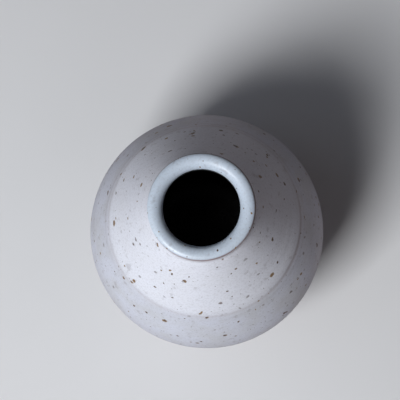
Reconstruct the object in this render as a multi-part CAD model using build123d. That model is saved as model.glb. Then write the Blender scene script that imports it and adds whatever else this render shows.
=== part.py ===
from build123d import *
import math
import os
import random

# A wheel-thrown stoneware bud vase. The origin is the centre of the ring that it stands on, and +Z is up.
# All sizes are in millimetres. Sections are drawn with x as the radius and y as the height.

# Driving dimensions: the glazed outside
total_height = 105.0
belly_radius = 42.0
belly_height = 41.0
shoulder_ring_radius = 33.2
shoulder_ring_height = 70.5
lip_radius = 17.9
lip_height = 5.2
throat_radius = 12.6

# Driving dimensions: thicknesses
glaze = 0.45
wall = 4.0
floor_top = 8.0

# Directions of the outside, in degrees up from +X as it climbs from the foot to the lip
waist_direction = 49.0
below_ring_direction = 110.0
above_ring_direction = 120.0
crease_direction = 116.0

# The rolled lip, with a break in the glaze along the arris on its outside
lip_undercut = 0.5
lip_outer_curve = 2.1
arris_angle = 28.0
glaze_break_width = 0.4
throat_length = 3.2

# The turned foot, the flat of the floor, and the line above the foot where the glaze stops
foot_radius = 25.0
foot_bevel = 0.8
foot_ring_width = 5.0
foot_recess_depth = 2.6
waist_radius = 26.2
waist_height = 5.0
flat_floor_radius = 16.0
glaze_line_height = 6.5

# Iron spots climb the outside in a spiral, so that no two of them meet, and now and then one is large
iron_spot_count = 36
iron_spot_heights = (48.0, 92.0)
small_iron_spot_widths = (0.5, 0.9)
large_iron_spot_widths = (1.0, 1.8)
large_iron_spot_share = 0.4
spiral_start_degrees = 25.0
spiral_step_degrees = 137.5
iron_spot_depth = 0.3
iron_spot_seed = 8
# The poles of the balls are tilted away from the glaze's own lines of latitude, where cuts go wrong
ball_tilt = Rot(20, 50, 10)

# Values that follow from the ones above
crest_height = total_height - glaze
crest_radius = lip_radius - glaze - lip_outer_curve * math.cos(math.radians(arris_angle))
lip_inner_curve = crest_radius - throat_radius - glaze
throat_top = crest_height - lip_inner_curve
throat_end = throat_top - throat_length
lip_centre = Vector(crest_radius, crest_height - lip_outer_curve)
reach = 2 * total_height


def direction(degrees):
    return Vector(math.cos(math.radians(degrees)), math.sin(math.radians(degrees)))


def moved_out(x, y, normal_degrees, distance):
    return Vector(x, y) + direction(normal_degrees) * distance


def box_section(left, right, bottom, top):
    return Pos((left + right) / 2, (bottom + top) / 2) * Rectangle(right - left, top - bottom)


def turned(section):
    """Stand a section up and turn it once round the vertical axis."""
    return revolve(Plane.XZ * section, Axis.Z)


def upper_curves(growth):
    """From the widest part of the belly past the shoulder ring to the crease under the lip, moved out
    from the clay's outside by the growth."""
    crease_radius = lip_radius - glaze - lip_undercut
    ring_normal = (below_ring_direction + above_ring_direction) / 2 - 90
    widest = Vector(belly_radius - glaze + growth, belly_height)
    ring = moved_out(shoulder_ring_radius, shoulder_ring_height, ring_normal, growth - glaze)
    crease = moved_out(crease_radius, total_height - lip_height, crease_direction - 90, growth)
    belly_curve = Spline(widest, ring, tangents=(direction(90), direction(below_ring_direction)))
    shoulder_ends = (direction(above_ring_direction), direction(crease_direction))
    shoulder_curve = Spline(ring, crease, tangents=shoulder_ends)
    return [belly_curve, shoulder_curve]


def outer_section(growth):
    """Half of the pot out to its outside, as if it were solid right through."""
    upper = upper_curves(growth)
    waist = moved_out(waist_radius, waist_height, waist_direction - 90, growth)
    foot = Polyline((0, 0), (foot_radius - foot_bevel, 0), (foot_radius, foot_bevel), waist)
    lower_belly = Spline(waist, upper[0] @ 0, tangents=(direction(waist_direction), direction(90)))
    lip_top = CenterArc(lip_centre, lip_outer_curve + growth, arris_angle, 90 - arris_angle)
    lip_side = Line(upper[-1] @ 1, lip_top @ 0)
    closing = Polyline(lip_top @ 1, (0, crest_height + growth), (0, 0))
    return make_face([foot, lower_belly, *upper, lip_side, lip_top, closing])


def inner_section(growth):
    """Half of the hollow, narrowed by the growth: the floor, the belly, the throat and the lip's roll."""
    upper = upper_curves(-wall - growth)
    floor_edge = Vector(flat_floor_radius, floor_top + growth)
    bowl = Spline(floor_edge, upper[0] @ 0, tangents=(direction(0), direction(90)))
    throat_foot = Vector(throat_radius + glaze - growth, throat_end)
    neck = Spline(upper[-1] @ 1, throat_foot, tangents=(direction(crease_direction), direction(90)))
    throat_side = Line(throat_foot, (throat_foot.X, throat_top))
    roll = TangentArc(throat_side @ 1, (crest_radius, crest_height + growth), tangent=(0, 1))
    closing = Polyline(roll @ 1, (0, crest_height + growth), (0, floor_top + growth), floor_edge)
    return make_face([bowl, *upper, neck, throat_side, roll, closing])


def pot_section(growth):
    return outer_section(growth) - inner_section(growth)


def glaze_break_section():
    """A wedge from the centre of the lip's outer curve that leaves the arris bare."""
    break_angle = math.degrees(glaze_break_width / lip_outer_curve)
    sides = [lip_centre + direction(arris_angle + turn) * wall for turn in (0, break_angle)]
    return make_face(Polyline(lip_centre, *sides, close=True))


def glaze_sections():
    """The coat is what the glaze adds to the clay. It stops above the foot, it is broken at the arris, and
    its inside changes at the throat's end from the coat of the lip to the liner of the hollow."""
    coat = pot_section(glaze) - pot_section(0)
    coat -= box_section(waist_radius / 2, reach, 0, glaze_line_height)
    coat &= box_section(0, reach, floor_top / 2, reach)
    coat -= glaze_break_section()
    inside, outside = coat.faces().sort_by(Axis.X)
    lip_and_throat = inside & box_section(0, reach, throat_end, reach)
    liner = inside & box_section(0, reach, 0, throat_end)
    return outside, lip_and_throat, liner


def iron_spot_balls(outside):
    """A ball for each iron spot, sunk into the face of the glaze by the spot's depth and as wide there as
    the spot."""
    def face_point(height):
        crossings = outside.face().outer_wire().intersect(Line((0, height), (reach, height)))
        return Vector(max(crossing.X for crossing in crossings), height)

    chance = random.Random(iron_spot_seed)
    low, high = iron_spot_heights
    balls = []
    for number in range(iron_spot_count):
        height = low + (high - low) * number / iron_spot_count
        degrees = spiral_start_degrees + spiral_step_degrees * number
        large = chance.random() < large_iron_spot_share
        width = chance.uniform(*(large_iron_spot_widths if large else small_iron_spot_widths))
        climb = (face_point(height + width / 2) - face_point(height - width / 2)).normalized()
        outward = Vector(climb.Y, -climb.X)
        radius = (width**2 / 4 + iron_spot_depth**2) / (2 * iron_spot_depth)
        centre = face_point(height) + outward * (radius - iron_spot_depth)
        balls.append(Rot(0, 0, degrees) * Pos(centre.X, 0, centre.Y) * ball_tilt * Sphere(radius))
    return balls


def build():
    outside, lip_and_throat, liner = glaze_sections()
    recess = Pos(0, 0, foot_recess_depth / 2) * Cylinder(foot_radius - foot_ring_width, foot_recess_depth)
    whole_coat = turned(outside)
    balls = iron_spot_balls(outside)
    return {
        "stoneware_body": turned(pot_section(0)) - recess,
        "exterior_glaze": whole_coat - balls,
        "rim_glaze": turned(lip_and_throat),
        "interior_glaze": turned(liner),
        "iron_spots": Compound([(whole_coat & ball).solid() for ball in balls]),
    }


os.makedirs("parts", exist_ok=True)
for name, node in build().items():
    export_step(node, f"parts/{name}.step")
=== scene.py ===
import math

import bpy
import numpy as np
from mathutils import Matrix, Vector
from mathutils.bvhtree import BVHTree


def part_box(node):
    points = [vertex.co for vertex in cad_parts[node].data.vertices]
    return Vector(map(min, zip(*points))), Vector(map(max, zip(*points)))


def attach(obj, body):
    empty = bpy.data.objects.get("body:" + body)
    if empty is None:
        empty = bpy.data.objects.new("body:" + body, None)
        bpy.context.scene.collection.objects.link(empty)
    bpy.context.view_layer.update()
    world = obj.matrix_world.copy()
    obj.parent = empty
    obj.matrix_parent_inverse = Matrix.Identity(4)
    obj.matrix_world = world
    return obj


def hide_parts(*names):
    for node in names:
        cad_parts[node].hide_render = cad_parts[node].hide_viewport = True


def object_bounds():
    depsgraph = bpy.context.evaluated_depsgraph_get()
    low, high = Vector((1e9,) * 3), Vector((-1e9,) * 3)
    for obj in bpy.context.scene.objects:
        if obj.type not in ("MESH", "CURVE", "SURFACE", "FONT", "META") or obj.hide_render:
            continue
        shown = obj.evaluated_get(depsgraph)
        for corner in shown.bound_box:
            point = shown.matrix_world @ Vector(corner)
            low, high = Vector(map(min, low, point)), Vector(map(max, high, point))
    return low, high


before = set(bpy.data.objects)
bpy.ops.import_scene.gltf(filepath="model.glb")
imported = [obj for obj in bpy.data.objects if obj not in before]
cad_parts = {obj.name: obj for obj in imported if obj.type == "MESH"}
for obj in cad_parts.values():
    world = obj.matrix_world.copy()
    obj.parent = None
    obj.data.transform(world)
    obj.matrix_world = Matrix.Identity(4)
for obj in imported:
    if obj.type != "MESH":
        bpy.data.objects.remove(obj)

# A wheel-thrown bud vase. The coats of glaze and the clay are lathe meshes. Their outlines are read from
# the CAD frame and then made uneven by hand-made detail: throwing lines, a wall a little out of round, and
# glaze that thins over edges. The iron spots are small closed lenses that lie on the coats.
# Lengths are in metres, and MM turns millimetres into them.
MM = 0.001
cad_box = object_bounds()
random_numbers = np.random.default_rng(11)

# Mesh density
SEGMENTS = 360
ROW_SPACING = 0.50 * MM
OUTLINE_STEP = 0.25 * MM
RAY_AZIMUTH = 0.01
SKIN = 0.02 * MM
FOOT_SPACING = 0.3 * MM
FOOT_REACH = 3 * MM
HIDDEN_SPACING = 2.4 * MM
BACK_ROWS = 34
CREASE_BACK_ROWS = 12
BACK_SHARE = 0.95
RIM_OUTER_ROWS = 34
RIM_INNER_ROWS = 30
THROAT_ROWS = 18
CLAY_LIP_STRIDE = 3

# Reading CAD points: how near to a height or a radius one has to be to lie on it, how near two have to be to
# count as one, and the share of the foot ring's inner radius where the lowest one is on the floor's top
NEAR = 0.05 * MM
WELD = 0.001 * MM
WITHIN_RING = 0.9

# Points in the window that smooths an outline
FACET_WINDOW = 9
FOOT_WINDOW = 5
NARROW_WINDOW = 3

# Hand-made unevenness. A phase is drawn from a little more than one full turn, in radians
POINTS_PER_SWING = 12
PHASES = (0, 7)
WOBBLE = 0.10 * MM
WOBBLE_LOBES = 4
THROWING_DEPTH = 0.035 * MM
THROWING_SPACING = 1.3 * MM
SWELL_DEPTH = 0.10 * MM
SWELL_SPACING = 11.0 * MM
RIM_THROWING_DEPTH = 0.5 * THROWING_DEPTH
RIM_THROWING_SPACING = 0.9 * THROWING_SPACING

# The ring on the shoulder: the distance along the outline and the strength of each of its lines
RING_HEIGHT_SHARE = 0.671
RING_LINES = ((0, 1.0), (-3.1 * MM, 0.6), (2.4 * MM, 0.3))
RING_WANDER = 0.25 * MM
RING_GROOVE_DEPTH = 0.13 * MM
RING_GROOVE_WIDTH = 1.15 * MM
RING_TINT = 0.50
# Where the painted light on the shoulder begins: the softness and the wander of its lower edge
SHOULDER_FADE = 2.0 * MM
SHOULDER_WANDER = 0.5 * MM

# The faint line in the crease under the lip
CREASE_OVER_THROAT = 0.6 * MM
CREASE_WANDER = 0.25 * MM
CREASE_TINT = 0.45
CREASE_TINT_WIDTH = 0.35 * MM

# Where the glaze ends. EDGE_SINK, EDGE_THICKNESS_LEFT and RIM_EDGE_ROLL are shares, not lengths
EDGE_ROLL = 0.7 * MM
EDGE_SINK = 0.6
EDGE_THICKNESS_LEFT = 0.12
FOOT_LINE_WAVER = 0.5 * MM
FOOT_LINE_REACH = 4 * MM
FOOT_TINT_WIDTH = 1.1 * MM
ARRIS_TINT_WIDTH = 0.52 * MM
RIM_EDGE_ROLL = 0.25
RIM_TINT_WIDTH = 0.55 * MM
CLAY_ARRIS_DEGREES = 28
LINER_START = 0.4 * MM
LINER_WAVER = 0.15 * MM
LINER_FADE = 0.35 * MM
HEALED_AZIMUTH = math.radians(180)
HEALED_REACH = math.radians(42)

# Clay: tool marks on the turned foot, and a hair of room under the glaze
TURNING_DEPTH = 0.05 * MM
TURNING_SPACING = 1.1 * MM
CLAY_CLEARANCE = 0.02 * MM

# Iron spots. The halo is how much wider the stained edge is than the spot itself
SPOT_SEGMENTS = 18
SPOT_RINGS = 5
SPOT_HALO = 1.6
SPOT_LIFT = 0.035 * MM
SPOT_SINK = 0.02 * MM
SPOT_DEPTH = 0.20 * MM
SPOT_NARROWEST = 0.45
SPOT_LOBES = (2, 3, 5)
SPOT_LOBE_STRENGTH = 0.26
SPOT_MARGIN = 0.01 * MM
SPOT_SMALLEST = 0.22 * MM
SPOT_RANGE = 1.15 * MM
SPOT_RARENESS = 2.1

# How many spots there are, the share of the outline that they lie on, and how far their widths range
RANDOM_SPOTS = 640
COAT_SPOT_PLACES = (0.03, 0.985)
LIP_SPOTS = 12
LIP_SPOT_PLACES = (0.1, 0.6)
LIP_SPOT_RANGE = 0.4 * MM
BREAK_GRAINS = 11
BREAK_GRAIN_PLACES = (0.0, 0.04)
BREAK_GRAIN_RANGE = 0.6 * MM
BURIED_SHARE = 0.5
BURIED_DEPTHS = (0.5, 1.0)

# Glaze, iron and clay colours
GLAZE_WHITE = (0.665, 0.695, 0.775, 1)
GLAZE_WARM = (0.615, 0.635, 0.675, 1)
# Painted light: a pale white painted on the shoulder for the light that its up-facing slope catches
GLAZE_PAINTED_LIGHT = (0.84, 0.86, 0.92, 1)
# Painted sky light: a blue painted on the lip for the cool light that its crest catches from above
LIP_PAINTED_SKY_BLUE = (0.58, 0.68, 0.78, 1)
THIN_MAUVE = (0.20, 0.115, 0.105, 1)
SPECK_GREY = (0.19, 0.165, 0.16, 1)
IRON_DARK = (0.030, 0.018, 0.014, 1)
IRON_RUST = (0.17, 0.085, 0.042, 1)
IRON_AMBER = (0.31, 0.195, 0.085, 1)
ARRIS_MAROON = (0.055, 0.024, 0.022, 1)
LINER_BLACK = (0.003, 0.003, 0.003, 1)
LINER_DEEP = (0.004, 0.003, 0.003, 1)
LINER_BROWN = (0.010, 0.006, 0.005, 1)
CLAY_TAN = (0.36, 0.245, 0.165, 1)
CLAY_FLASHED = (0.24, 0.135, 0.08, 1)
CLAY_GRIT = (0.50, 0.40, 0.30, 1)
# Share of the painted light on the shoulder
SHOULDER_PAINTED_LIGHT = 0.75
# Share of the painted sky blue on the lip
LIP_PAINTED_SKY_SHARE = 0.7

# Sizes of the noise and dot patterns, in cells for each metre
FLOOR_CLOUD = 6.0
FLASH = 45.0
LINER_CLOUD = 60.0
GLAZE_CLOUD = 85.0
GLOSS_PATCHES = 140.0
LINER_GLOSS = 200.0
IRON_TINT = 230.0
LARGE_DOTS = 260.0
SMUDGES = 330.0
PITS = 340.0
LINER_RIPPLE = 350.0
GLAZE_RIPPLE = 420.0
CLAY_GRAINS = 420.0
CLAY_RIPPLE = 500.0
SMALL_DOTS = 620.0
CLAY_GLOSS = 900.0
GLAZE_GRAIN = 1500.0
ORANGE_PEEL = 1900.0
GRIT = 2400.0
IRON_CRUST = 2600.0
DOT_EDGES = 5200.0

# Light and floor. A lamp has azimuth, elevation, distance, size, power and colour
KEY_LAMP = (218, 48, 1.1, 0.42, 11.5, (0.945, 0.965, 1.0))
SKY_LAMP = (170, 55, 1.3, 0.9, 1.1, (0.66, 0.80, 1.0))
SIDE_LAMP = (-30, 45, 1.3, 0.7, 0.5, (1.0, 0.86, 0.90))
WORLD_FILL = 0.03
WORLD_SEEN = 0.80
WORLD_COLOUR = (0.92, 0.90, 0.95, 1)
FLOOR_SIDE = 8.0
FLOOR_BOUNCE = (0.50, 0.455, 0.465, 1)
FLOOR_SHADE = (0.78, 0.775, 0.77, 1)
FLOOR_PAPER = (0.81, 0.805, 0.80, 1)
FLOOR_FADE_START = 0.10
FLOOR_FADE_END = 1.1

# The photographer's eye: almost overhead, a little towards the front, turned slightly in the hand
VIEW_TILT = math.radians(8.0)
VIEW_ROLL = math.radians(-12.5)
VIEW_DISTANCE = 0.525
VIEW_LENS = 140.4
SENSOR_WIDTH = 36.0
VIEW_AIM_UP = 5.6 * MM
VIEW_AIM_RIGHT = -1.2 * MM
VIEW_TARGET_HEIGHT = 0.77
NEAREST_SEEN = 0.01
FURTHEST_SEEN = 20


# ---------------------------------------------------------------- reading the frame

def node_points(node):
    """Radius and height of every vertex of a CAD node."""
    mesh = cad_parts[node].data
    points = np.empty(len(mesh.vertices) * 3)
    mesh.vertices.foreach_get("co", points)
    points = points.reshape(-1, 3)
    return np.hypot(points[:, 0], points[:, 1]), points[:, 2]


def side_outline(node, low, high, outermost):
    """Radius of a CAD node's outer or inner side at even heights, found by rays along one direction.
    The rays are turned a little away from +X, where the CAD mesh has its seam."""
    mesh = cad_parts[node].data
    polygons = [tuple(polygon.vertices) for polygon in mesh.polygons]
    tree = BVHTree.FromPolygons([vertex.co for vertex in mesh.vertices], polygons)
    outward = Vector((math.cos(RAY_AZIMUTH), math.sin(RAY_AZIMUTH), 0))
    outline = []
    for height in np.linspace(low, high, int((high - low) / OUTLINE_STEP) + 2):
        axis = Vector((0, 0, height))
        if outermost:
            hit = tree.ray_cast(axis + outward, -outward)[0]
        else:
            hit = tree.ray_cast(axis, outward)[0]
        if hit is not None:
            outline.append((math.hypot(hit.x, hit.y), height))
    return np.array(outline)


def path_length(outline):
    return np.concatenate([[0], np.cumsum(np.hypot(*np.diff(outline, axis=0).T))])


def respaced(outline, spacing):
    """The same outline with evenly spaced points."""
    along = path_length(outline)
    even = np.linspace(0, along[-1], int(along[-1] / spacing) + 2)
    return np.column_stack([np.interp(even, along, outline[:, 0]), np.interp(even, along, outline[:, 1])])


def smoothed(outline, window):
    """Take the facets of the CAD mesh out of an outline and keep its two ends."""
    kernel = np.hanning(window + 2)[1:-1]
    kernel /= kernel.sum()
    half = window // 2
    columns = []
    for values in outline.T:
        before = 2 * values[0] - values[half:0:-1]
        after = 2 * values[-1] - values[-2:-half - 2:-1]
        columns.append(np.convolve(np.concatenate([before, values, after]), kernel, mode="valid"))
    return np.column_stack(columns)


def outward_normals(outline):
    """Normals on the right-hand side of an outline that climbs, so they point away from the axis."""
    step = np.gradient(outline, axis=0)
    step /= np.linalg.norm(step, axis=1)[:, None]
    return np.column_stack([step[:, 1], -step[:, 0]])


def arc(centre, radius, start_degrees, end_degrees, points):
    turns = np.radians(np.linspace(start_degrees, end_degrees, points))
    return np.column_stack([centre[0] + radius * np.cos(turns), centre[1] + radius * np.sin(turns)])


# ---------------------------------------------------------------- sizes worked out from the frame

height_of_pot = cad_box[1][2] - cad_box[0][2]
outer_low, outer_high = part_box("exterior_glaze")
clay_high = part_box("stoneware_body")[1]
rim_low, rim_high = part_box("rim_glaze")
liner_low, liner_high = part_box("interior_glaze")
glaze_thickness = outer_high.x - clay_high.x


def straight_lip(outline, foot_of_lip):
    """The outside up to the crease under the lip, and the lip's side, which is straight from there."""
    crease = np.searchsorted(outline[:, 1], foot_of_lip)
    side = respaced(outline[[crease, -1]], ROW_SPACING)
    return smoothed(respaced(outline[:crease + 1], ROW_SPACING), FACET_WINDOW), side[1:]


crease_height = rim_low.z + CREASE_OVER_THROAT
coat_face_outline = side_outline("exterior_glaze", outer_low.z + SKIN, outer_high.z - SKIN, True)
shoulder, lip_side = straight_lip(coat_face_outline, crease_height)
coat_crease = len(shoulder) - 1
coat_outline = smoothed(np.vstack([shoulder, lip_side]), NARROW_WINDOW)
coat_along = path_length(coat_outline)
coat_length = coat_along[-1]
ring_along = np.interp(RING_HEIGHT_SHARE * height_of_pot, coat_outline[:, 1], coat_along)

rim_radius, rim_height = node_points("rim_glaze")
throat_radius = rim_radius.min()
crest_radius = rim_radius[np.argmax(rim_height)]
inner_curve = crest_radius - throat_radius
throat_top = rim_high.z - inner_curve
break_drop = rim_high.z - rim_height[np.argmax(rim_radius)]
break_reach = rim_radius.max() - crest_radius
lip_curve = (break_reach**2 + break_drop**2) / (2 * break_drop)
lip_centre = (crest_radius, rim_high.z - lip_curve)
break_start = math.degrees(math.atan2(lip_curve - break_drop, break_reach))


# ---------------------------------------------------------------- hand-made unevenness

around = np.linspace(0, 2 * math.pi, SEGMENTS, endpoint=False)


def waver(length, spacing):
    """Smooth random values, about one swing for each spacing, between -1 and 1."""
    knots = int(length / spacing) + 3
    values = random_numbers.uniform(-1, 1, knots)
    fineness = max(int(length / spacing * POINTS_PER_SWING), 2 * POINTS_PER_SWING)
    places = np.linspace(0, length, fineness)
    fine = np.interp(places, np.linspace(0, length, knots), values)
    kernel = np.hanning(POINTS_PER_SWING + 1)
    padded = np.pad(fine, POINTS_PER_SWING // 2, mode="edge")
    return places, np.convolve(padded, kernel / kernel.sum(), mode="valid")


def waver_around(lobes):
    """Smooth random values round the pot, made of a few lobes, between -1 and 1."""
    total = np.zeros(SEGMENTS)
    for lobe in range(1, lobes + 1):
        size = random_numbers.uniform(0.4, 1) / lobe
        total += size * np.cos(lobe * around + random_numbers.uniform(*PHASES))
    return total / np.abs(total).max()


wobble_low, wobble_middle, wobble_high = (waver_around(WOBBLE_LOBES) for _ in range(3))


def wobble(heights):
    """How far the wall wanders in or out of round. It is the same for the clay and the glaze."""
    share = np.clip(heights / height_of_pot, 0, 1)
    low = np.clip(1 - 2 * share, 0, 1)
    high = np.clip(2 * share - 1, 0, 1)
    middle = 1 - low - high
    return WOBBLE * (low * wobble_low + middle * wobble_middle + high * wobble_high)


def throwing_relief(along, depth, spacing):
    """Fine rings left by the fingers. Two patterns fade into each other round the pot. They add nothing
    to the thickness on average."""
    first = np.interp(along, *waver(along[-1], spacing))
    second = np.interp(along, *waver(along[-1], spacing))
    share = 0.5 + 0.5 * np.cos(around + random_numbers.uniform(0, 2 * math.pi))
    relief = first[:, None] * share + second[:, None] * (1 - share)
    return depth * (relief - relief.mean())


def bump_along(along, centre, width):
    """A smooth hump of height 1 at the centre, for each row, and for each segment if the centre wanders."""
    return np.exp(-((along[:, None] - centre) / width) ** 2)


def healed(azimuths):
    """On one side the glaze flowed back over the arris: 1 in the middle of that stretch, 0 elsewhere."""
    away = np.abs(np.angle(np.exp(1j * (azimuths - HEALED_AZIMUTH))))
    return np.exp(-(away / HEALED_REACH) ** 2)


# ---------------------------------------------------------------- meshes

def make_object(name, vertices, faces, material, stands_for, shades=None):
    """One piece that rides on the body and stands for a CAD node. Shades are values for each vertex."""
    mesh = bpy.data.meshes.new(name)
    mesh.from_pydata(vertices.reshape(-1, 3).tolist(), [], [list(face) for face in faces])
    for shade, values in (shades or {}).items():
        attribute = mesh.attributes.new(shade, "FLOAT", "POINT")
        attribute.data.foreach_set("value", values.ravel().astype(np.float32))
    mesh.polygons.foreach_set("use_smooth", np.ones(len(mesh.polygons), bool))
    mesh.materials.append(material)
    mesh.update()
    piece = bpy.data.objects.new(name, mesh)
    bpy.context.scene.collection.objects.link(piece)
    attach(piece, "root")
    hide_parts(stands_for)


def grid_faces(rows, closed_rows):
    """Quads of a grid that closes round the pot, and also closes along its rows if asked."""
    row_numbers = np.arange(rows if closed_rows else rows - 1)
    row, column = np.meshgrid(row_numbers, np.arange(SEGMENTS), indexing="ij")
    this_row, next_row = row * SEGMENTS, (row + 1) % rows * SEGMENTS
    beside = (column + 1) % SEGMENTS
    corners = (this_row + column, this_row + beside, next_row + beside, next_row + column)
    return np.stack([corner.ravel() for corner in corners], axis=1)


def turned_points(radii, heights):
    """Points of a lathe surface from a radius and a height for each row and each segment."""
    return np.stack([radii * np.cos(around), radii * np.sin(around), heights], axis=-1)


def lathe(outline, offset):
    """Turn an outline round the axis, moved along its normals by an offset for each row and segment."""
    normals = outward_normals(outline)
    radii = outline[:, :1] + normals[:, :1] * offset
    heights = outline[:, 1:] + normals[:, 1:] * offset
    return turned_points(radii + wobble(heights), heights)


def even_lathe(outline, offset):
    """A lathe surface with the same offset all over."""
    return lathe(outline, np.full((len(outline), SEGMENTS), offset))


def closed_turning(outline, offset):
    """A lathe solid from an outline that starts and ends on the axis."""
    points = lathe(outline[1:-1], offset[1:-1])
    ends = np.array([[0, 0, outline[0, 1]], [0, 0, outline[-1, 1]]])
    rows = len(points)
    count = rows * SEGMENTS
    column = np.arange(SEGMENTS)
    beside = (column + 1) % SEGMENTS
    first_cap = np.column_stack([np.full(SEGMENTS, count), beside, column])
    last = (rows - 1) * SEGMENTS
    last_cap = np.column_stack([np.full(SEGMENTS, count + 1), last + column, last + beside])
    faces = grid_faces(rows, closed_rows=False).tolist() + first_cap.tolist() + last_cap.tolist()
    return np.concatenate([points.reshape(-1, 3), ends]), faces


# ---------------------------------------------------------------- material nodes

def new_material(name):
    material = bpy.data.materials.new(name)
    material.use_nodes = True
    tree = material.node_tree
    return material, tree, tree.nodes["Principled BSDF"]


def add(tree, kind, inputs=None, **settings):
    """A node with its settings, and with each input linked to a socket or set to a value."""
    node = tree.nodes.new(kind)
    for key, value in settings.items():
        setattr(node, key, value)
    for key, value in (inputs or {}).items():
        if isinstance(value, bpy.types.NodeSocket):
            tree.links.new(value, node.inputs[key])
        else:
            node.inputs[key].default_value = value
    return node


def object_place(tree):
    return add(tree, "ShaderNodeTexCoord").outputs["Object"]


def noise_value(tree, scale, detail=3.0, roughness=0.55):
    inputs = {"Vector": object_place(tree), "Scale": scale, "Detail": detail, "Roughness": roughness}
    return add(tree, "ShaderNodeTexNoise", inputs).outputs["Fac"]


def remapped(tree, value, low, high, out_low=0.0, out_high=1.0):
    """A smooth ramp from out_low to out_high as the value goes from low to high."""
    inputs = {"Value": value, "From Min": low, "From Max": high, "To Min": out_low, "To Max": out_high}
    return add(tree, "ShaderNodeMapRange", inputs, interpolation_type="SMOOTHSTEP").outputs["Result"]


def maths(tree, operation, first, second):
    return add(tree, "ShaderNodeMath", {0: first, 1: second}, operation=operation).outputs[0]


def product(tree, first, second):
    return maths(tree, "MULTIPLY", first, second)


def blended(tree, amount, first, second):
    """Colour from first to second as the amount goes from 0 to 1."""
    return add(tree, "ShaderNodeMix", {0: amount, 6: first, 7: second}, data_type="RGBA").outputs[2]


def attribute_value(tree, name):
    return add(tree, "ShaderNodeAttribute", attribute_name=name).outputs["Fac"]


def set_bumps(tree, shader, layers):
    """Stack bumps: each layer is (height value, distance in metres, strength)."""
    normal = None
    for height, distance, strength in layers:
        inputs = {"Height": height, "Distance": distance, "Strength": strength}
        if normal is not None:
            inputs["Normal"] = normal
        normal = add(tree, "ShaderNodeBump", inputs).outputs["Normal"]
    tree.links.new(normal, shader.inputs["Normal"])


def set_roughness(tree, shader, value, low, high, smooth, rough):
    tree.links.new(remapped(tree, value, low, high, smooth, rough), shader.inputs["Roughness"])


def dots(tree, cells_per_metre, radius, share):
    """Fine dots: one in some of the cells of a Voronoi pattern, each of its own size."""
    cells = add(tree, "ShaderNodeTexVoronoi", {"Vector": object_place(tree), "Scale": cells_per_metre})
    pick = add(tree, "ShaderNodeSeparateColor", {"Color": cells.outputs["Color"]})
    size = remapped(tree, pick.outputs["Green"], 0.0, 1.0, 0.35 * radius, radius)
    ragged = product(tree, noise_value(tree, DOT_EDGES), 0.5 * radius)
    distance = maths(tree, "ADD", cells.outputs["Distance"], ragged)
    edge = maths(tree, "SUBTRACT", maths(tree, "ADD", size, 0.25 * radius), distance)
    dot = remapped(tree, edge, 0.0, 0.3 * radius)
    return product(tree, dot, maths(tree, "LESS_THAN", pick.outputs["Red"], share))


def glaze_colour(tree):
    """Cool white with soft mottling and fine grey-brown dots. Thin places show the clay through."""
    cloud = remapped(tree, noise_value(tree, GLAZE_CLOUD, 4.0), 0.36, 0.66)
    colour = blended(tree, cloud, GLAZE_WHITE, GLAZE_WARM)
    # Painted light: the shoulder is painted paler from the ring up, for the light on its up-facing slope
    painted_light = product(tree, attribute_value(tree, "shoulder"), SHOULDER_PAINTED_LIGHT)
    colour = blended(tree, painted_light, colour, GLAZE_PAINTED_LIGHT)
    # Painted sky light: the lip is tinted blue for the cool light from above on its crest
    lip = product(tree, attribute_value(tree, "lip"), LIP_PAINTED_SKY_SHARE)
    colour = blended(tree, lip, colour, LIP_PAINTED_SKY_BLUE)
    grain = product(tree, remapped(tree, noise_value(tree, GLAZE_GRAIN, 4.0), 0.42, 0.72), 0.16)
    colour = blended(tree, grain, colour, SPECK_GREY)
    small = product(tree, dots(tree, SMALL_DOTS, 0.17, 0.42), 0.78)
    colour = blended(tree, small, colour, SPECK_GREY)
    large = product(tree, dots(tree, LARGE_DOTS, 0.10, 0.22), 0.85)
    colour = blended(tree, large, colour, IRON_DARK)
    smudge = product(tree, remapped(tree, noise_value(tree, SMUDGES, 2.0), 0.60, 0.74), 0.26)
    colour = blended(tree, smudge, colour, SPECK_GREY)
    colour = blended(tree, remapped(tree, attribute_value(tree, "thin"), 0.0, 1.0), colour, THIN_MAUVE)
    return blended(tree, attribute_value(tree, "liner"), colour, LINER_BLACK)


def white_glaze_material():
    """Satin glaze with patches of gloss, a soft ripple, orange peel and a few pits."""
    material, tree, shader = new_material("white_satin_glaze")
    tree.links.new(glaze_colour(tree), shader.inputs["Base Color"])
    set_roughness(tree, shader, noise_value(tree, GLOSS_PATCHES), 0.3, 0.7, 0.37, 0.47)
    shader.inputs["IOR"].default_value = 1.5
    shader.inputs["Coat Weight"].default_value = 0.10
    shader.inputs["Coat Roughness"].default_value = 0.22
    ripple = (noise_value(tree, GLAZE_RIPPLE), 0.05 * MM, 0.45)
    orange_peel = (noise_value(tree, ORANGE_PEEL), 0.015 * MM, 0.4)
    pits = (product(tree, dots(tree, PITS, 0.09, 0.10), -1.0), 0.06 * MM, 0.6)
    set_bumps(tree, shader, [ripple, orange_peel, pits])
    return material


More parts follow.
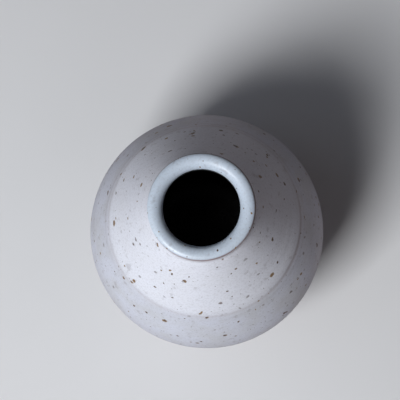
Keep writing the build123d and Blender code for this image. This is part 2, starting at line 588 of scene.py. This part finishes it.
def iron_spot_material():
    """A dark core that bleeds through rust or amber into the glaze. A buried spot is only a grey smudge."""
    material, tree, shader = new_material("melted_iron_spot")
    crust = noise_value(tree, IRON_CRUST)
    core = maths(tree, "ADD", attribute_value(tree, "core"), product(tree, crust, 0.30))
    buried = attribute_value(tree, "buried")
    tint = remapped(tree, noise_value(tree, IRON_TINT, 1.0), 0.40, 0.60)
    edge = blended(tree, buried, blended(tree, tint, IRON_AMBER, IRON_RUST), SPECK_GREY)
    stain = product(tree, remapped(tree, core, 0.24, 0.60), remapped(tree, buried, 0.0, 1.0, 1.0, 0.4))
    colour = blended(tree, stain, glaze_colour(tree), edge)
    dark = product(tree, remapped(tree, core, 0.46, 0.84), remapped(tree, tint, 0.0, 0.7, 0.3, 1.0))
    dark = product(tree, dark, maths(tree, "SUBTRACT", 1.0, buried))
    colour = blended(tree, dark, colour, IRON_DARK)
    tree.links.new(colour, shader.inputs["Base Color"])
    set_roughness(tree, shader, core, 0.4, 1.0, 0.42, 0.30)
    set_bumps(tree, shader, [(crust, 0.03 * MM, 0.5)])
    return material


def liner_material():
    """Nearly black, with a soft ripple and patches of gloss."""
    material, tree, shader = new_material("near_black_liner")
    cloud = remapped(tree, noise_value(tree, LINER_CLOUD), 0.35, 0.7)
    tree.links.new(blended(tree, cloud, LINER_DEEP, LINER_BROWN), shader.inputs["Base Color"])
    set_roughness(tree, shader, noise_value(tree, LINER_GLOSS), 0.3, 0.7, 0.26, 0.38)
    shader.inputs["Specular IOR Level"].default_value = 0.2
    set_bumps(tree, shader, [(noise_value(tree, LINER_RIPPLE), 0.05 * MM, 0.4)])
    return material


def clay_material():
    """Toasted stoneware: fine grit, darker where the fire flashed it, with iron grains."""
    material, tree, shader = new_material("bare_toasted_stoneware")
    flash = remapped(tree, noise_value(tree, FLASH), 0.35, 0.68)
    colour = blended(tree, flash, CLAY_TAN, CLAY_FLASHED)
    grit = noise_value(tree, GRIT, 5.0)
    colour = blended(tree, product(tree, remapped(tree, grit, 0.45, 0.65), 0.45), colour, CLAY_GRIT)
    colour = blended(tree, dots(tree, CLAY_GRAINS, 0.15, 0.35), colour, IRON_DARK)
    colour = blended(tree, attribute_value(tree, "arris"), colour, ARRIS_MAROON)
    colour = blended(tree, attribute_value(tree, "healed"), colour, GLAZE_WARM)
    tree.links.new(colour, shader.inputs["Base Color"])
    set_roughness(tree, shader, noise_value(tree, CLAY_GLOSS), 0.3, 0.7, 0.74, 0.92)
    set_bumps(tree, shader, [(grit, 0.06 * MM, 0.7), (noise_value(tree, CLAY_RIPPLE), 0.08 * MM, 0.4)])
    return material


# ---------------------------------------------------------------- the white coats

def ring_lines():
    """The shoulder ring is a soft groove with a fainter one on each side. Each wanders and fades by
    itself."""
    lines = np.zeros((len(coat_along), SEGMENTS))
    for away, strength in RING_LINES:
        centre = ring_along + away + RING_WANDER * waver_around(4)
        fade = strength * (0.6 + 0.4 * waver_around(5))
        lines += fade * bump_along(coat_along, centre, RING_GROOVE_WIDTH)
    return lines


shoulder_ring = ring_lines()


def coat_offset():
    """Height of the outside's face over the CAD outline, for each row and segment."""
    offset = throwing_relief(coat_along, THROWING_DEPTH, THROWING_SPACING)
    offset += throwing_relief(coat_along, SWELL_DEPTH, SWELL_SPACING)
    offset -= RING_GROOVE_DEPTH * shoulder_ring
    for distance in (coat_along, coat_length - coat_along):
        round_off = np.clip(1 - distance / EDGE_ROLL, 0, 1) ** 2
        offset -= glaze_thickness * (1 - EDGE_THICKNESS_LEFT) * round_off[:, None] * EDGE_SINK
    return offset


def thin_glaze():
    """How far the clay shows through at the shoulder ring, the arris and the foot line, and a darker line in
    the crease under the lip.
    """
    crease_line = coat_along[coat_crease] + CREASE_WANDER * waver_around(5)
    # A darker line along the crease under the lip
    crease = CREASE_TINT * bump_along(coat_along, crease_line, CREASE_TINT_WIDTH)
    crease *= 0.55 + 0.45 * waver_around(6)
    uneven = (0.75 + 0.25 * waver_around(6)) * (1 - healed(around))
    arris = bump_along(coat_length - coat_along, 0, ARRIS_TINT_WIDTH) * uneven
    foot = bump_along(coat_along, 0, FOOT_TINT_WIDTH) * (0.85 + 0.15 * waver_around(7))
    return RING_TINT * shoulder_ring + crease + arris + foot


def painted_light_on_shoulder():
    """Painted light: the glaze is painted paler from the shoulder ring up to the lip, for the light that the
    up-facing slope catches.
    """
    above_ring = coat_along[:, None] - ring_along + SHOULDER_WANDER * waver_around(5)
    return 0.5 + 0.5 * np.tanh(above_ring / SHOULDER_FADE)


def make_coat(name, face, back, material, stands_for, shades):
    """One closed coat from its face and its hidden back, which run opposite ways along the outline. Each
    shade has a value for every point of the face and one for the whole back."""
    points = np.concatenate([face, back])
    faces = grid_faces(len(points), closed_rows=True)
    values = {}
    for shade, (on_face, on_back) in shades.items():
        values[shade] = np.vstack([on_face, np.full(back.shape[:2], on_back)])
    make_object(name, points, faces, material, stands_for, values)


def make_outer_coat(material):
    face = lathe(coat_outline, coat_offset())
    back = even_lathe(coat_outline, -BACK_SHARE * glaze_thickness)
    waver_of_line = FOOT_LINE_WAVER * (1 + waver_around(9)) / 2
    for side in (face, back):
        side[..., 2] += waver_of_line * np.exp(-coat_along / FOOT_LINE_REACH)[:, None]
    lip_rows = np.arange(len(coat_outline) - 1, coat_crease - CREASE_BACK_ROWS, -1)
    belly_rows = np.linspace(coat_crease - CREASE_BACK_ROWS, 0, BACK_ROWS).astype(int)
    back = back[np.concatenate([lip_rows, belly_rows])]
    # The shoulder shade paints light onto the shoulder: paler from the ring up
    shades = {"thin": (thin_glaze(), 1.0), "shoulder": (painted_light_on_shoulder(), 0.0)}
    make_coat("exterior_glaze_coat", face, back, material, "exterior_glaze", shades)
    return face


def rim_outline(growth, start_degrees):
    """From the break in the glaze over the lip's crest and down into the throat, moved out by the growth."""
    outer = arc(lip_centre, lip_curve + growth, start_degrees, 90, RIM_OUTER_ROWS)
    inner = arc((crest_radius, throat_top), inner_curve + growth, 90, 180, RIM_INNER_ROWS)[1:]
    straight = np.linspace(throat_top, rim_low.z, THROAT_ROWS)[1:]
    throat = np.column_stack([np.full(len(straight), throat_radius - growth), straight])
    return np.vstack([outer, inner, throat])


def make_rim_coat(material):
    """The coat over the lip. Its lower end, in the throat, is tinted near black like the liner."""
    outline = rim_outline(0.0, break_start)
    along = path_length(outline)
    thin = bump_along(along, 0, RIM_TINT_WIDTH) * (0.8 + 0.2 * waver_around(7)) * (1 - healed(around))
    offset = throwing_relief(along, RIM_THROWING_DEPTH, RIM_THROWING_SPACING)
    offset -= RIM_EDGE_ROLL * glaze_thickness * np.clip(1 - along / EDGE_ROLL, 0, 1)[:, None] ** 2
    face = lathe(outline, offset)
    back = even_lathe(outline, -BACK_SHARE * glaze_thickness)
    back = back[np.linspace(len(outline) - 1, 0, BACK_ROWS).astype(int)]
    roll_end = along[-1] - (throat_top - rim_low.z)
    past_line = along[:, None] - roll_end - LINER_START - LINER_WAVER * waver_around(8)
    overlap = np.clip(past_line / LINER_FADE + 0.5, 0, 1)
    # The lip shade paints sky light onto the lip: a blue tint over the whole rim coat
    shades = {"thin": (thin, 1.0), "liner": (overlap, 1.0), "lip": (np.ones_like(thin), 1.0)}
    make_coat("rim_glaze_coat", face, back, material, "rim_glaze", shades)
    return outline, face


# ---------------------------------------------------------------- the liner and the clay

def clay_outline():
    """Recess, foot ring, outside, lip, and down the inside to the middle of the floor."""
    radius, height = node_points("stoneware_body")
    on_ground = height < NEAR
    ring_inner, ring_outer = radius[on_ground].min(), radius[on_ground].max()
    recess_top = height[(np.abs(radius - ring_inner) < NEAR) & (height < outer_low.z)].max()
    floor_top = height[radius < WITHIN_RING * ring_inner].min()
    outside = side_outline("stoneware_body", SKIN, crease_height, True)
    inside = side_outline("stoneware_body", floor_top + SKIN, rim_low.z, False)[::-1]
    foot_end = np.searchsorted(outside[:, 1], outer_low.z + FOOT_REACH)
    underside = [[0, recess_top], [ring_inner, recess_top], [ring_inner, 0], [ring_outer, 0]]
    foot = smoothed(respaced(np.vstack([underside, outside[:foot_end]]), FOOT_SPACING), FOOT_WINDOW)
    upper = respaced(outside[foot_end:], HIDDEN_SPACING)
    lip = rim_outline(-glaze_thickness, CLAY_ARRIS_DEGREES)[::CLAY_LIP_STRIDE]
    hollow = respaced(np.vstack([inside, [0, floor_top]]), HIDDEN_SPACING)
    return np.vstack([foot, upper, lip, hollow]), len(foot)


def make_clay(material):
    """The clay, with tool marks on the turned foot. Its lip is stained, and shows only where the glaze
    breaks."""
    outline, foot_rows = clay_outline()
    marks = throwing_relief(path_length(outline), TURNING_DEPTH, TURNING_SPACING) - TURNING_DEPTH
    marks[foot_rows:] = 0
    points, faces = closed_turning(outline, marks - CLAY_CLEARANCE)
    azimuth = np.arctan2(points[:, 1], points[:, 0])
    on_lip = (points[:, 2] > crease_height).astype(float)
    shades = {"arris": on_lip, "healed": on_lip * healed(azimuth)}
    make_object("stoneware_clay_body", points, faces, material, "stoneware_body", shades)


def make_liner(material):
    """The liner as one closed bowl, from the middle of its back up to the throat and down its face."""
    face = side_outline("interior_glaze", liner_low.z + glaze_thickness + SKIN, liner_high.z - SKIN, False)
    face = smoothed(respaced(face, HIDDEN_SPACING / 2), NARROW_WINDOW)
    back = face + outward_normals(face) * BACK_SHARE * glaze_thickness
    outline = np.vstack([[0, back[0, 1]], back, face[::-1], [0, face[0, 1]]])
    points, faces = closed_turning(outline, np.zeros((len(outline), SEGMENTS)))
    make_object("liner_glaze_coat", points, faces, material, "interior_glaze")


# ---------------------------------------------------------------- iron spots

def cad_spots():
    """Azimuth, height and width of each separate solid in the CAD node of iron spots."""
    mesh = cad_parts["iron_spots"].data
    points = np.array([vertex.co for vertex in mesh.vertices])
    label = np.unique(np.round(points / WELD), axis=0, return_inverse=True)[1].ravel()
    welded = np.arange(label.max() + 1)
    corners = np.array([[label[index] for index in polygon.vertices] for polygon in mesh.polygons])
    changed = True
    while changed:
        lowest = welded[corners].min(axis=1)
        after = welded.copy()
        for column in corners.T:
            np.minimum.at(after, column, lowest)
        changed = not np.array_equal(after, welded)
        welded = after
    spots = []
    for island in np.unique(welded[label]):
        mine = points[welded[label] == island]
        middle = mine.mean(axis=0)
        width = 2 * np.linalg.norm(mine - middle, axis=1).max()
        spots.append((math.atan2(middle[1], middle[0]), middle[2], width))
    return spots


def random_burial():
    """About half of the small spots lie deep in the glaze, and show only as a grey smudge."""
    deep = random_numbers.uniform() < BURIED_SHARE
    return deep * random_numbers.uniform(*BURIED_DEPTHS)


def planned_spots(coat_face, rim_path, rim_face):
    """Outline, face, azimuth, place along the outline, width and burial of every spot: the CAD's spots, then
    seeded random ones, mostly tiny, and more of them where there is more surface."""
    planned = []
    for azimuth, height, width in cad_spots():
        along = np.interp(height, coat_outline[:, 1], coat_along)
        planned.append((coat_outline, coat_face, azimuth, along, width, 0.0))
    area = np.cumsum(coat_outline[:, 0])
    for _ in range(RANDOM_SPOTS):
        along = np.interp(random_numbers.uniform(*COAT_SPOT_PLACES) * area[-1], area, coat_along)
        width = SPOT_SMALLEST + SPOT_RANGE * random_numbers.uniform() ** SPOT_RARENESS
        azimuth = random_numbers.uniform(0, 2 * math.pi)
        planned.append((coat_outline, coat_face, azimuth, along, width, random_burial()))
    rim_length = path_length(rim_path)[-1]
    lip_spots = (LIP_SPOTS, LIP_SPOT_PLACES, LIP_SPOT_RANGE)
    break_grains = (BREAK_GRAINS, BREAK_GRAIN_PLACES, BREAK_GRAIN_RANGE)
    for count, places, width_range in (lip_spots, break_grains):
        for _ in range(count):
            along = random_numbers.uniform(*places) * rim_length
            width = SPOT_SMALLEST + width_range * random_numbers.uniform()
            azimuth = random_numbers.uniform(0, 2 * math.pi)
            planned.append((rim_path, rim_face, azimuth, along, width, 0.0))
    return planned


def lens_shape(width):
    """A ragged lens before it is laid down. For its middle, its rings and its bottom: how far each point
    lies sideways and upwards, how far it lifts off the face, and how near it is to the core."""
    turn = np.linspace(0, 2 * math.pi, SPOT_SEGMENTS, endpoint=False)
    ragged = np.ones(SPOT_SEGMENTS)
    for lobe in SPOT_LOBES:
        size = random_numbers.uniform(0, SPOT_LOBE_STRENGTH / lobe**0.5)
        ragged += size * np.cos(lobe * turn + random_numbers.uniform(*PHASES))
    stretch = random_numbers.uniform(SPOT_NARROWEST, 1.0)
    slant = random_numbers.uniform(0, math.pi)
    share = np.linspace(0, 1, SPOT_RINGS + 1)[1:]
    reach = 0.5 * width * SPOT_HALO * np.outer(share, ragged)
    long_way, short_way = reach * np.cos(turn - slant), stretch * reach * np.sin(turn - slant)
    sideways = long_way * math.cos(slant) - short_way * math.sin(slant)
    upwards = long_way * math.sin(slant) + short_way * math.cos(slant)
    share = np.append(0, np.repeat(share, SPOT_SEGMENTS))
    lift = SPOT_LIFT * (1 - share**2) - SPOT_SINK * share**2
    lift, core = np.append(lift, -SPOT_DEPTH), np.append(1 - share, 0)
    return np.pad(sideways.ravel(), 1), np.pad(upwards.ravel(), 1), lift, core


def spot_points(outline, face, azimuth, along, width):
    """One lens laid on a lathe surface, and how near each of its points is to the core."""
    sideways, upwards, lift, core = lens_shape(width)
    rows = path_length(outline)
    place = np.clip(along + upwards, 0, rows[-1] - SPOT_MARGIN)
    row = np.clip(np.searchsorted(rows, place) - 1, 0, len(rows) - 2)
    between = ((place - rows[row]) / (rows[row + 1] - rows[row]))[:, None]
    angle = azimuth + sideways / np.interp(along, rows, outline[:, 0])
    column = (angle / (2 * math.pi) * SEGMENTS) % SEGMENTS
    left = column.astype(int) % SEGMENTS
    right = (left + 1) % SEGMENTS
    across = (column - column.astype(int))[:, None]
    low = face[row, left] * (1 - across) + face[row, right] * across
    high = face[row + 1, left] * (1 - across) + face[row + 1, right] * across
    normal = outward_normals(outline)[row]
    out = np.column_stack([normal[:, 0] * np.cos(angle), normal[:, 0] * np.sin(angle), normal[:, 1]])
    return low * (1 - between) + high * between + out * lift[:, None], core


def spot_faces(start):
    """Triangles and quads of one lens: a fan in the middle, rings, and a closed underside."""
    columns = range(SPOT_SEGMENTS)
    beside = [(index + 1) % SPOT_SEGMENTS for index in columns]
    faces = [(start, start + 1 + index, start + 1 + beside[index]) for index in columns]
    for ring in range(SPOT_RINGS - 1):
        inner = start + 1 + ring * SPOT_SEGMENTS
        outer = inner + SPOT_SEGMENTS
        faces += [(inner + i, outer + i, outer + beside[i], inner + beside[i]) for i in columns]
    edge = start + 1 + (SPOT_RINGS - 1) * SPOT_SEGMENTS
    bottom = start + 1 + SPOT_RINGS * SPOT_SEGMENTS
    return faces + [(edge + beside[i], edge + i, bottom) for i in columns]


def make_spots(material, coat_face, rim_path, rim_face):
    points, cores, burials, faces = [], [], [], []
    start = 0
    for *spot, burial in planned_spots(coat_face, rim_path, rim_face):
        new_points, core = spot_points(*spot)
        faces += spot_faces(start)
        start += len(new_points)
        points.append(new_points)
        cores.append(core)
        burials.append(np.full(len(core), burial))
    shades = {"core": np.concatenate(cores), "buried": np.concatenate(burials)}
    make_object("iron_spot_melts", np.concatenate(points), faces, material, "iron_spots", shades)


# ---------------------------------------------------------------- floor, light and camera

def floor_material():
    """Pale paper that fades into the room far away. The light that it bounces has a colour of its own."""
    material, tree, shader = new_material("studio_floor")
    shade = remapped(tree, noise_value(tree, FLOOR_CLOUD), 0.3, 0.7)
    seen = add(tree, "ShaderNodeLightPath").outputs["Is Camera Ray"]
    paper = blended(tree, shade, FLOOR_SHADE, FLOOR_PAPER)
    tree.links.new(blended(tree, seen, FLOOR_BOUNCE, paper), shader.inputs["Base Color"])
    shader.inputs["Roughness"].default_value = 0.9
    far = add(tree, "ShaderNodeVectorMath", {0: object_place(tree)}, operation="LENGTH").outputs["Value"]
    amount = product(tree, remapped(tree, far, FLOOR_FADE_START, FLOOR_FADE_END), seen)
    room = add(tree, "ShaderNodeEmission", {"Color": WORLD_COLOUR, "Strength": WORLD_SEEN})
    mix = add(tree, "ShaderNodeMixShader", {0: amount, 1: shader.outputs[0], 2: room.outputs[0]})
    tree.links.new(mix.outputs[0], tree.nodes["Material Output"].inputs["Surface"])
    return material


def make_floor():
    mesh = bpy.data.meshes.new("studio_floor")
    side = FLOOR_SIDE / 2
    corners = [(-side, -side, 0), (side, -side, 0), (side, side, 0), (-side, side, 0)]
    mesh.from_pydata(corners, [], [(0, 1, 2, 3)])
    mesh.materials.append(floor_material())
    floor = bpy.data.objects.new("studio_floor", mesh)
    bpy.context.scene.collection.objects.link(floor)


def area_light(name, azimuth, elevation, distance, size, power, colour):
    """A soft square light that looks at the middle of the pot. Azimuth is round from +X."""
    turn, climb = math.radians(azimuth), math.radians(elevation)
    direction = Vector((math.cos(turn) * math.cos(climb), math.sin(turn) * math.cos(climb), math.sin(climb)))
    lamp = bpy.data.lights.new(name, "AREA")
    lamp.size, lamp.energy, lamp.color = size, power, colour
    light = bpy.data.objects.new(name, lamp)
    light.location = Vector((0, 0, height_of_pot / 2)) + direction * distance
    light.rotation_euler = direction.to_track_quat("Z", "Y").to_euler()
    bpy.context.scene.collection.objects.link(light)


def make_world():
    """The camera sees a pale room, and the pot gets only a little light from it."""
    world = bpy.data.worlds.new("studio")
    world.use_nodes = True
    tree = world.node_tree
    background = tree.nodes["Background"]
    background.inputs["Color"].default_value = WORLD_COLOUR
    seen = add(tree, "ShaderNodeLightPath").outputs["Is Camera Ray"]
    strength = add(tree, "ShaderNodeMapRange", {"Value": seen, "To Min": WORLD_FILL, "To Max": WORLD_SEEN})
    tree.links.new(strength.outputs["Result"], background.inputs["Strength"])
    bpy.context.scene.world = world


def make_camera():
    forward = Vector((0, math.sin(VIEW_TILT), -math.cos(VIEW_TILT)))
    level_right = Vector((1, 0, 0))
    level_up = level_right.cross(forward)
    right = level_right * math.cos(VIEW_ROLL) + level_up * math.sin(VIEW_ROLL)
    up = level_up * math.cos(VIEW_ROLL) - level_right * math.sin(VIEW_ROLL)
    target = Vector((0, 0, VIEW_TARGET_HEIGHT * height_of_pot))
    place = target - forward * VIEW_DISTANCE
    look = (target + up * VIEW_AIM_UP + right * VIEW_AIM_RIGHT - place).normalized()
    side = look.cross(up).normalized()
    lens = bpy.data.cameras.new("camera")
    lens.lens, lens.sensor_width = VIEW_LENS, SENSOR_WIDTH
    lens.clip_start, lens.clip_end = NEAREST_SEEN, FURTHEST_SEEN
    camera = bpy.data.objects.new("camera", lens)
    axes = Matrix((side, side.cross(look), -look)).transposed()
    camera.matrix_world = Matrix.Translation(place) @ axes.to_4x4()
    bpy.context.scene.collection.objects.link(camera)
    bpy.context.scene.camera = camera


white_glaze = white_glaze_material()
coat_face = make_outer_coat(white_glaze)
rim_path, rim_face = make_rim_coat(white_glaze)
make_clay(clay_material())
make_liner(liner_material())
make_spots(iron_spot_material(), coat_face, rim_path, rim_face)
make_floor()
make_world()
area_light("key", *KEY_LAMP)
area_light("sky", *SKY_LAMP)
area_light("side", *SIDE_LAMP)
make_camera()
bpy.context.scene.view_settings.view_transform = "Standard"
